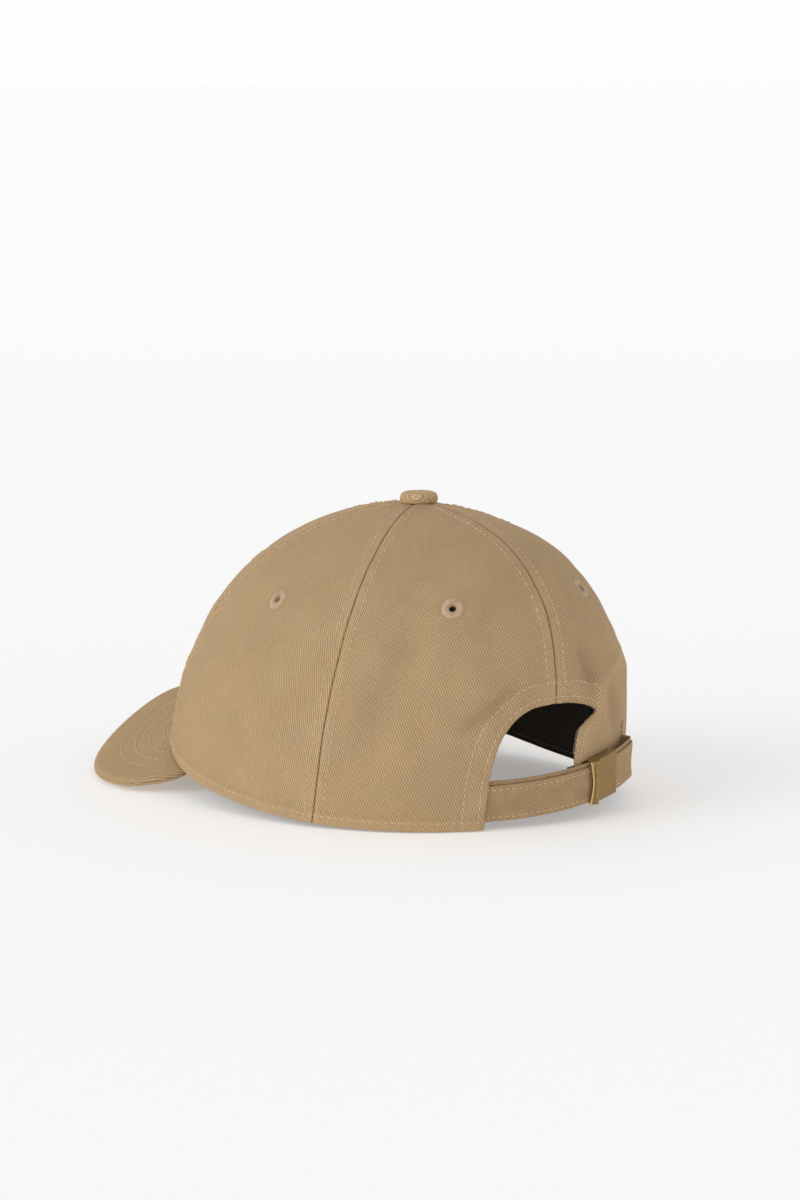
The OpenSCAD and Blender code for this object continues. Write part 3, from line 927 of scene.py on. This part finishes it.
# ---- embroidered eyelets ----
# across an eyelet's ring: share of the way from the hole out, and height
EYE_PROFILE = [
    (0.0, -1.5), (0.0, -0.5), (0.02, 0.10), (0.10, 0.42), (0.25, 0.66), (0.45, 0.76), (0.65, 0.70),
    (0.82, 0.50), (0.94, 0.22), (1.0, -0.12), (1.0, -0.55), (0.5, -1.0), (0.0, -1.5)]


def eyelet(name):
    threads, per, hole, rim = 46, 6, 1.45, 4.25
    c, n = crown(*EYELETS[name]), crown_normal(*EYELETS[name])
    cloth = PANELS[name]["verts"].reshape(-1, 3)
    near = np.linalg.norm(cloth - c, axis=1)
    c = c + n * ((cloth - c) @ n)[(near > 3.2) & (near < 5.0)].mean()
    t1 = unit(np.cross([0, 0, 1.0], n))
    t2 = np.cross(n, t1)
    count, m = threads * per, len(EYE_PROFILE)
    a = np.linspace(0, 2 * math.pi, count, endpoint=False)
    outer = rim + np.repeat(rng.normal(0, 0.10, threads), per)
    inner = hole + np.repeat(rng.normal(0, 0.05, threads), per)
    ridge = np.abs(np.sin(a * threads / 2)) ** 0.7
    v = np.zeros((count, m, 3))
    for j, (f, z) in enumerate(EYE_PROFILE):
        r = inner + (outer - inner) * f
        height = z + (ridge - 0.6) * 0.26 * (z > 0)
        v[:, j] = c + np.outer(r * np.cos(a), t1) + np.outer(r * np.sin(a), t2) + np.outer(height, n)
    faces = []
    for i in range(count):
        here, after = i * m, (i + 1) % count * m
        faces += [(here + j, here + j + 1, after + j + 1, after + j) for j in range(m - 1)]
    obj = new_object("eyelet_embroidery_" + name, v.reshape(-1, 3), faces, M_EYELET)
    piece(obj, "crown", "eyelet_thread", "eyelet_" + name)


for eye in EYELETS:
    eyelet(eye)


# ---- inside of the crown ----
def lining_sheet(name, node, ph, u, d, thick, mat, slot, rows=(), keep=None, ripple=0.3, lift=0.0):
    """A sheet d mm inside the crown; returns its rows (axis, index) as sewing lines on its inner face."""
    p = crown(ph, u, d)
    n = crown_normal(ph, u)
    h = ripple * waves(p, 16.0, 41) * 0.5 + lift
    if d < CLOTH + 2:
        h = h + dents(p)
    v = p + n * h[..., None]
    uv = np.stack([run_length(v), run_length(v, 1)], -1).reshape(-1, 2)
    used, faces = used_only(grid_faces(*v.shape[:2], keep, flip=True))
    obj = new_object(name, v.reshape(-1, 3)[used], faces, mat, uv[used])
    solidify(obj, thick)
    piece(obj, "crown", slot, node)
    inside = v - n * thick
    return [(np.take(inside, k, axis), -np.take(n, k, axis)) for axis, k in rows]


def sweatband():
    height, above_hem, d = 32.0, 0.6, CLOTH + 5.2
    up = [0, 0.3, 0.8, 1.6, 2.6, 4, 6, 9, 12, 15, 18, 21, 24, 26.5, 28.4, 29.6, 30.6, 31.4, 31.8, height]
    ph, up = np.broadcast_arrays(np.linspace(20, 340, 300)[:, None] * DEG, np.array(up)[None])
    u = u_at(ph, edge_z(ph) + above_hem + up, d)
    return lining_sheet("sweatband_twill", "sweatband", ph, u, d, 1.0, M_BAND, "sweatband",
                        rows=((1, 4), (1, 14)), lift=-fold(up, 0.7) - fold(height - up, 0.7))


def tape(node, centre, u0):
    """The tape over a seam, u0 degrees up from the hem."""
    half = 7.5
    k, u = np.broadcast_arrays(np.linspace(-1, 1, 13)[:, None], np.linspace(u0, 74, 70)[None] * DEG)
    q = crown(np.full(u.shape, centre * DEG), u)
    r = np.hypot(q[..., 0], q[..., 1] - LEAN * q[..., 2] / H)
    ph = centre * DEG + k * np.arcsin(np.clip(half / r, 0, 1))
    return lining_sheet(node + "_cloth", node, ph, u, CLOTH + 1.9, 0.5, M_TAPE, "seam_tape",
                        rows=((0, 2), (0, 10)), lift=-fold((1 - np.abs(k)) * half, 0.4), ripple=0.2)


def buckram(eye, p0, p1):
    """The stiff mesh behind a front panel, cut out round the eyelet."""
    d = CLOTH + 0.6
    ph, u = np.linspace(p0, p1, 60)[:, None] * DEG, np.linspace(0.6, 68, 80)[None] * DEG
    ph, u = np.broadcast_arrays(ph, u)
    r = np.linalg.norm(crown(ph, u, d) - crown(*EYELETS[eye]), axis=-1)
    node = eye.replace("_", "_buckram_")
    keep = r[:-1, :-1] > 5.2
    lining_sheet(node + "_mesh", node, ph, u, d, 0.4, M_BUCKRAM, "buckram", keep=keep, ripple=0.15)


lining_rows = sweatband()
for node, centre, u0 in (("tape_front_centre", 180, 0.6), ("tape_rear_centre", 0, 14),
                         ("tape_front_left", SEAM_FRONT, 0.6), ("tape_front_right", -SEAM_FRONT, 0.6),
                         ("tape_rear_left", SEAM_REAR, 0.6), ("tape_rear_right", -SEAM_REAR, 0.6)):
    lining_rows += tape(node, centre, u0)
buckram("front_left", SEAM_FRONT + 0.8, 179.6)
buckram("front_right", 180.4, 359.2 - SEAM_FRONT)
stitches("lining_stitching", lining_rows, M_DARK_THREAD, "crown", slot="seam_tape")


def facing():
    """The tape that binds the arch on the inside, its edge peeping out as a thin pale line."""
    above = ARCH[:, 1] > 26.5
    line = ARCH[above]
    offs = np.array([0.35, 0.6, 1.2, 2.5, 4.5, 6.5, 8.0, 9.0])
    q = line[:, None] + arch_normals()[above][:, None] * offs[None, :, None]
    ph, u = on_back(q[..., 0], q[..., 1])
    p, n = crown(ph, u, CLOTH + 0.15), crown_normal(ph, u)
    p = p + n * (corner_push(p) + dents(p) - 0.15)[..., None]
    uv = np.stack(np.broadcast_arrays(offs[None], np.arange(len(line))[:, None] * 1.2), -1).reshape(-1, 2)
    obj = new_object("arch_binding_tape", p.reshape(-1, 3), grid_faces(*p.shape[:2]), M_BINDING, uv)
    solidify(obj, 0.3)
    piece(obj, "crown", "seam_tape", "arch_facing")


facing()


# ---- strap ----
def soften(path, step, sigma):
    """Even points along a flat polyline, its corners rounded."""
    path = np.concatenate([path, np.zeros((len(path), 1))], 1)
    p = resample(path, step)[:, :2]
    k = np.exp(-0.5 * (np.arange(-3 * sigma, 3 * sigma + step / 2, step) / sigma) ** 2)
    k /= k.sum()
    pad = np.arange(1, len(k) // 2 + 1)[:, None]
    longer = np.concatenate([p[0] - pad[::-1] * (p[1] - p[0]), p, p[-1] + pad * (p[-1] - p[-2])])
    return np.stack([np.convolve(longer[:, i], k, "valid") for i in (0, 1)], -1)[:len(p)]


def band(name, path, lo, width, offs, thick, relief_fn, backed=False):
    """A band of strap twill swept along a path in the strap's frame, from lo up; offs are its rows.
    backed adds a layer behind it that stands out above. Returns the object, its face and normals."""
    t = unit(np.gradient(path, axis=0))
    nrm = np.stack([-t[:, 1], t[:, 0]], -1)
    if nrm[0] @ path[0] < 0:
        nrm = -nrm
    s, w = run_length(path)[:, None], np.array(offs, float)[None]
    base = back(path[:, 0], path[:, 1], np.zeros(len(path)))[:, None] + BACK_Z * (lo + w)[..., None]
    out = (nrm[:, :1] * BACK_X + nrm[:, 1:] * BACK_Y)[:, None]
    h, tone = relief_fn(s, w, base)
    face = base + out * h[..., None]
    verts, tones = [face], [tone]
    if backed:
        full = width + BACKING
        wide = w * full / width
        h = 0.3 - 0.6 * fold(np.minimum(wide, full - wide), 0.4) - 0.45 * np.clip((width - wide) / 2, 0, 1)
        h = h + 0.12 * waves(base, 6.0, 57) - thick * 0.5
        verts.append(base + BACK_Z * (wide - w)[..., None] + out * h[..., None])
        # Painted shade: the back layer is darker all over, as shade behind the face.
        tones.append(np.full(tone.shape, -0.12))
    n, m = base.shape[:2]
    faces = [tuple(i + k * n * m for i in f) for k in range(len(verts)) for f in grid_faces(n, m)]
    uv = np.stack(np.broadcast_arrays(s, w), -1).reshape(-1, 2)
    obj = new_object(name, np.concatenate(verts).reshape(-1, 3), faces, M_STRAP,
                     np.tile(uv, (len(verts), 1)), np.concatenate(tones).reshape(-1))
    solidify(obj, thick)
    return obj, face, np.broadcast_to(out, face.shape)


def strap():
    r, face_w = STRAP_R, STRAP_W - BACKING
    outside, inside = np.linspace(35, SLIT_AT + 0.1, 200), np.linspace(SLIT_AT - 0.1, -45, 30)
    path = np.concatenate([polar(outside, r), polar(inside[:1], r - 1.0), polar(inside, r - 7.8)])
    path = soften(path, 0.6, 1.1)
    edge = np.array([0, 0.12, 0.3, 0.6, 1.0, 1.4, 1.8, 2.2, 2.8, 3.6, 4.8, 6.2])
    offs = np.concatenate([edge, face_w - edge[::-1]])
    stitch_row = list(edge).index(1.8)

    def relief_of(s, w, base):
        e = np.minimum(w, face_w - w)
        pull = waves(base, 9.0, 51)
        turned_in = below(e, 3.4, 0.3)
        h = 0.6 + 0.16 * turned_in - 0.16 * bell(e, 1.8, 0.45) + 0.14 * pull - fold(e, 0.5)
        h = h + 0.30 * np.sin(np.clip(w / face_w, 0, 1) * math.pi) * waves(base, 30.0, 52)
        # Painted shade in the stitch grooves and where the edges fold under; the pull's tone follows its
        # height, with painted light on crests and painted shade in hollows.
        return h, 0.10 * turned_in - 0.12 * bell(e, 1.8, 0.5) + 0.10 * pull - 0.2 * bell(e, 0, 0.3)

    obj, face, out = band("strap_twill_band", path, 0, face_w, offs, 0.7, relief_of, backed=True)
    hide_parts("strap", "strap_tail")
    sewn = slice(6, int(len(path) * 0.83))
    rows = [(face[sewn, k], out[sewn, k]) for k in (stitch_row, len(offs) - 1 - stitch_row)]
    sewing = stitches("strap_topstitching", rows, M_THREAD, None, pitch=2.6)
    for cloth in (obj, sewing):
        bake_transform(cloth)


strap()


# ---- buckle and its tab ----
PIN_X, PIN_Y = 6.9, STRAP_R + 1.9


def at_buckle(v):
    """From the buckle's own axes (x towards the arch, y outwards, z up) to the frame."""
    a = -BUCKLE_AT * DEG
    x, y, z = v[..., 0], v[..., 1], v[..., 2]
    return back(x * math.cos(a) - y * math.sin(a), x * math.sin(a) + y * math.cos(a), z)


def arc_strip(p0, p1, n=10):
    """Outline of the flat metal inside the strap, from psi p0 to p1."""
    psi = np.linspace(p0, p1, n) - BUCKLE_AT
    return np.concatenate([polar(psi, STRAP_R - 1.4), polar(psi[::-1], STRAP_R - 2.1)])


def circle(cx, cy, r, a0=0, a1=360, n=28):
    a = np.radians(np.linspace(a0, a1, n, endpoint=(a1 - a0) != 360))
    return [(cx + r * math.cos(t), cy + r * math.sin(t)) for t in a]


def prism(outline, z0, z1):
    """A solid from an (x, y) outline."""
    n = len(outline)
    v = [(x, y, z) for z in (z0, z1) for x, y in outline]
    f = [tuple(range(n - 1, -1, -1)), tuple(range(n, 2 * n))]
    f += [(i, (i + 1) % n, (i + 1) % n + n, i + n) for i in range(n)]
    return v, f


def brass_solids(name, solids, width):
    """Prisms at the buckle joined into one brass object with bevelled edges."""
    verts, faces = [], []
    for v, f in solids:
        faces += [tuple(i + len(verts) for i in q) for q in f]
        verts += v
    obj = new_object(name, at_buckle(np.array(verts, float)), faces, M_BRASS, smooth=False)
    bevel(obj, width)
    return obj


def buckle():
    r, top = STRAP_R, STRAP_W
    rail = arc_strip(-6.6, -21.4)
    ear = [(PIN_X + 1.3, r - 1.9), (PIN_X + 1.3, PIN_Y)] + circle(PIN_X, PIN_Y, 1.3, 0, 180, 14)[1:-1] + [
        (PIN_X - 1.3, PIN_Y), (4.2, r + 1.5), (1.8, r + 0.8), (-6.6, r + 0.65), (-7.6, r - 0.2),
        (-8.0, r - 1.9)]
    solids = [prism(rail, -0.57, 0.9), prism(rail, top - 0.9, top + 0.57),
              prism(arc_strip(-6.6, -7.6, 3), 0.5, top - 0.5), prism(arc_strip(-8.7, -21.4), 0.5, top - 0.5),
              prism(ear, -0.57, -0.12), prism(ear, top + 0.12, top + 0.57)]
    piece(brass_solids("buckle_frame_brass", solids, 0.22), "crown", "antique_brass", "buckle_frame")
    pin = prism(circle(PIN_X, PIN_Y, 0.68, n=24), -0.75, top + 0.75)
    piece(brass_solids("buckle_pin_brass", [pin], 0.2), "crown", "antique_brass", "buckle_pin")
    stop = prism([(4.4, r + 0.9), (5.2, r + 0.9), (5.2, r + 1.8), (4.4, r + 1.6)], 1, top - 1)
    barrel = prism(circle(PIN_X, PIN_Y, 0.98), 0.0, top)
    piece(brass_solids("buckle_flap_knuckle", [barrel, stop], 0.15), "flap", "antique_brass")


def buckle_plate():
    """A dished plate over the pin: the flap up to the pin, and past it the frame's bright front edge."""
    n_z, n_ring, wire_r = 41, 10, 0.32
    lo, hi = -0.6, STRAP_W + 0.6
    kz = np.linspace(0, 1, n_z)[None]
    hollow = np.sin(kz * math.pi)

    def dished(name, right, left, n_x):
        kx = np.linspace(0, 1, n_x)[:, None]
        x = right + (left - right) * kx
        z = lo + (hi - lo) * kz + 0 * kx
        y = STRAP_R + 1.60 - 0.25 * np.clip(-x / 8, 0, 1) + 1.42 * bell(x, PIN_X, 1.75)
        y = y - 0.12 * hollow * np.sin(np.clip((x + 7) / 12, 0, 1) * math.pi)
        v = np.stack([x, y - 0.5 * fold(np.minimum(z - lo, hi - z), 0.6), z], -1)
        return new_object(name, at_buckle(v).reshape(-1, 3), grid_faces(n_x, n_z, flip=True), M_BRASS), v

    plate, _ = dished("buckle_flap_brass", -7.6 + 0.5 * hollow, PIN_X + 1.0 + 0 * hollow, 45)
    solidify(plate, 0.5)
    bevel(plate, 0.14)
    piece(plate, "flap", "antique_brass", "buckle_flap")
    front, v = dished("buckle_front_edge", PIN_X + 1.36 + 0 * hollow, PIN_X + 2.75 - 1.1 * hollow, 9)
    solidify(front, 0.2)
    piece(front, "crown", "antique_brass")
    rim = at_buckle(v[-1] + [0.1, -0.1, 0])
    ring = np.linspace(0, 2 * math.pi, n_ring, endpoint=False)[None, :, None]
    along = unit(np.gradient(rim, axis=0))
    s1 = unit(np.cross(along, BACK_Y))
    s2 = np.cross(along, s1)
    wire = rim[:, None] + wire_r * (np.cos(ring) * s1[:, None] + np.sin(ring) * s2[:, None])
    obj = new_object("buckle_front_wire", wire.reshape(-1, 3), tube_faces(n_z, n_ring), M_BRASS_EDGE)
    piece(obj, "crown", "antique_brass")


def tab():
    """The short tab that holds the buckle to the crown, folded round the frame's bar."""
    r, width = STRAP_R, STRAP_W - 4
    path = np.concatenate([polar(np.linspace(-15, -3.1, 16), r - 5.2),
                           polar(np.linspace(-3.1, -8.1, 8), r - 1.02), polar(np.array([-8.15]), r - 2.1)])

    def relief_of(s, w, base):
        h = 0.2 - fold(np.minimum(w, width - w), 0.35) + 0.05 * waves(base, 6, 61)
        return h, 0 * h

    offs = np.linspace(0, width, 16)
    obj, _, _ = band("buckle_tab_twill", soften(path, 0.35, 0.4), 2, width, offs, 0.4, relief_of)
    piece(obj, "crown", "strap_twill", "buckle_tab")


buckle()
buckle_plate()
tab()


# ---- floor, light and camera ----
def stage():
    half, below_cap = 40000.0, 0.3
    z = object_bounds()[0][2] * 1000 - below_cap
    g = Nodes(bpy.data.materials.new("floor_paper"))
    far = g.node("VectorMath", {0: g.inside()}, operation="LENGTH").outputs["Value"]
    paper = g.ramp(g.math("DIVIDE", far, 4.0), [(0.05, (0.86, 0.855, 0.845)), (0.9, (0.90, 0.90, 0.895))])
    paper = g.mix(g.mul(g.noise(30.0, 2.0), 0.03), paper, (0.7, 0.7, 0.69))
    g.fill({"Base Color": paper, "Roughness": 0.9, "Specular IOR Level": 0.1,
            "Emission Color": (1.0, 0.995, 0.985, 1), "Emission Strength": 0.31})
    square = [(-half, -half, z), (half, -half, z), (half, half, z), (-half, half, z)]
    new_object("floor", square, [(0, 1, 2, 3)], g.owner, smooth=False)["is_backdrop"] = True

    w = Nodes(bpy.data.worlds.new("studio"))
    up = w.node("SeparateXYZ", {0: w.node("TexCoord").outputs["Generated"]}).outputs[2]
    light = w.ramp(up, [(0.0, (0.93, 0.935, 0.945)), (1.0, (0.46, 0.465, 0.48))])
    seen = w.node("LightPath").outputs["Is Camera Ray"]
    bpy.context.scene.world = w.fill({"Color": w.mix(seen, light, (0.985, 0.99, 0.99)), "Strength": 1.0})


def sun(name, towards, strength, spread, colour):
    data = bpy.data.lights.new(name, "SUN")
    data.energy, data.angle, data.color = strength, spread * DEG, colour
    obj = place(name, data)
    obj.rotation_mode = "QUATERNION"
    obj.rotation_quaternion = Vector(towards).to_track_quat("Z", "Y")


def camera():
    """The camera, round from the wearer's front and up from level; returns its outward, right and up."""
    round_by, up_by, lens = 143.36 * DEG, 8.294 * DEG, 110.757
    away, sideways, height = 1500, 3.236, 74.763
    level = np.array([math.sin(round_by), -math.cos(round_by), 0])
    out = level * math.cos(up_by) + [0, 0, math.sin(up_by)]
    right = np.array([math.cos(round_by), math.sin(round_by), 0])
    up = np.cross(out, right)
    data = bpy.data.cameras.new("camera")
    data.sensor_width, data.lens = 36, lens
    obj = place("camera", data)
    obj.matrix_world = Matrix([[right[k], up[k], out[k], 0] for k in range(3)] + [[0, 0, 0, 1]])
    obj.location = (out * away + right * sideways + up * height) * 0.001
    bpy.context.scene.camera = obj
    return out, right, up


stage()
OUT, RIGHT, UP = camera()
sun("key", OUT * 0.60 - RIGHT * 0.85 + UP * 0.28, 1.05, 50, (1.0, 0.985, 0.96))
bpy.context.scene.view_settings.view_transform = "Standard"
